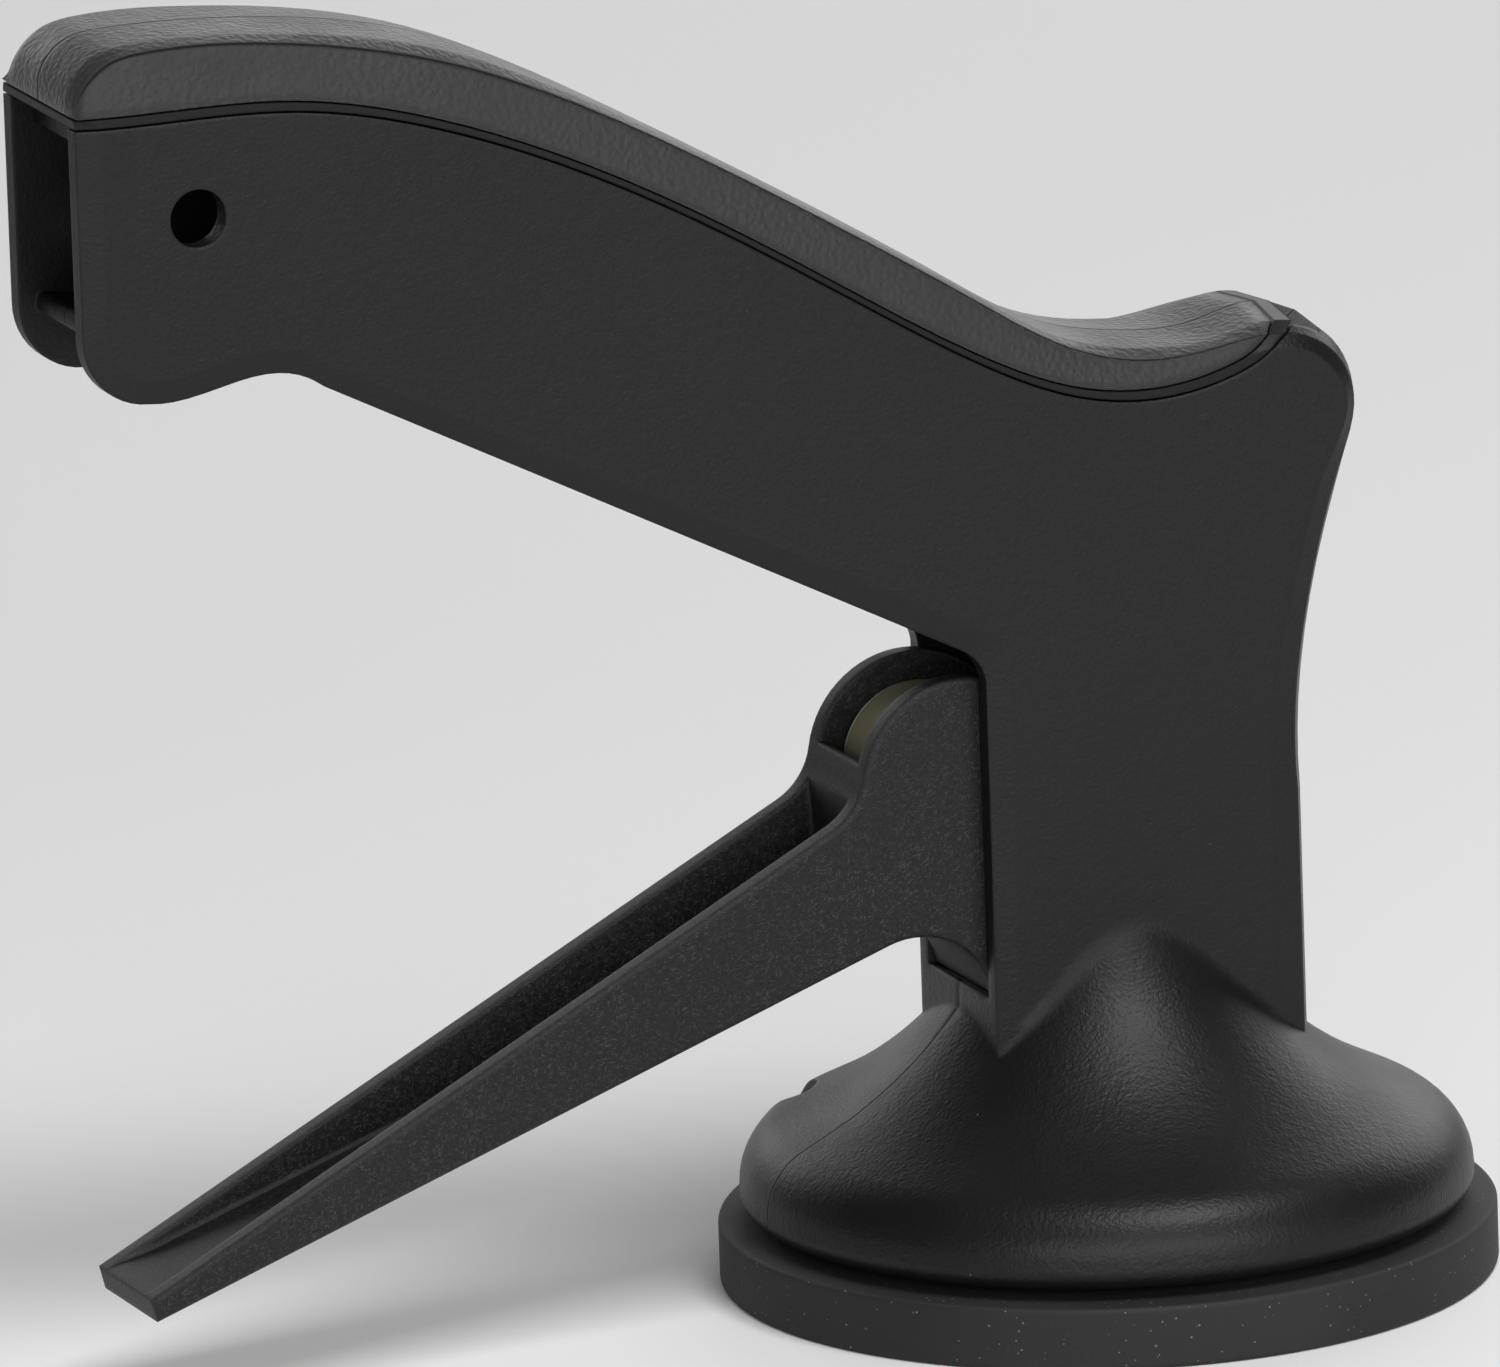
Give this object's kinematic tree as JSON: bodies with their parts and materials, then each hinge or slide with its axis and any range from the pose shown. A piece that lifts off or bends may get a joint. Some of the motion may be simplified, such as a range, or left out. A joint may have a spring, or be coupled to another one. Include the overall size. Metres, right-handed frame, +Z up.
{
  "type": "car phone mount suction base",
  "caption": "Lever-locked suction base for a car phone mount: rubber disc, bell, hollow column and arched arm ending in an open clevis with a cross hole.",
  "frame": {"origin": "centre of the suction disc's flat sealing face", "axes": "+Z up away from the surface it sticks to, the arm reaches towards -X, Y across the arm; the casing is split on y = 0"},
  "size_m": [0.1522, 0.08, 0.143],
  "materials": {
    "casing_plastic": "fine moulded texture, matte black",
    "screw_steel": "black zinc plated",
    "insert_brass": "plain",
    "carrier_plastic": "smooth, satin black",
    "pad_rubber": "leather-like grain, matte black",
    "dark_steel": "phosphated, nearly black",
    "plate_steel": "zinc plated",
    "bush_plastic": "natural acetal",
    "disc_rubber": "matte, slightly dusty",
    "link_plastic": "ivory acetal, satin",
    "pin_steel": "bright",
    "washer_plastic": "white nylon",
    "spring_steel": "bright spring wire",
    "lever_plastic": "glass-filled nylon, fibre-flecked"
  },
  "bodies": {
    "casing": {"casing_near_half": "casing_plastic", "casing_far_half": "casing_plastic", "case_screws": "screw_steel", "thread_inserts": "insert_brass", "grip_carrier": "carrier_plastic", "grip_pad": "pad_rubber", "wear_plate": "dark_steel", "guide_bush": "bush_plastic", "suction_disc": "disc_rubber", "cup_spring": "spring_steel"},
    "puller": {"pull_link": "link_plastic", "lever_pin": "pin_steel", "pin_retainer": "pin_steel", "thrust_washers": "washer_plastic", "core_plate": "plate_steel", "core_stud": "pin_steel", "stud_washer": "pin_steel", "stud_nut": "pin_steel", "spring_seat": "plate_steel"},
    "lever": {"lever": "lever_plastic"}
  },
  "joints": [
    {"name": "pull_slide", "type": "slide", "parent": "casing", "child": "puller", "axis": [0, 0, 1], "range_m": [0, 0.003], "stiffness_N_per_m": 646, "springref_m": -0.005, "deforming": ["cup_spring"]},
    {"name": "lever_swing", "type": "hinge", "parent": "puller", "child": "lever", "pos_m": [-0.0178, 0, 0.0554], "axis": [0, 1, 0], "range_deg": [0, 55]}
  ],
  "couplings": [
    {"joint": "lever_swing", "follows": "pull_slide", "rad_per_m": 319.98}
  ]
}
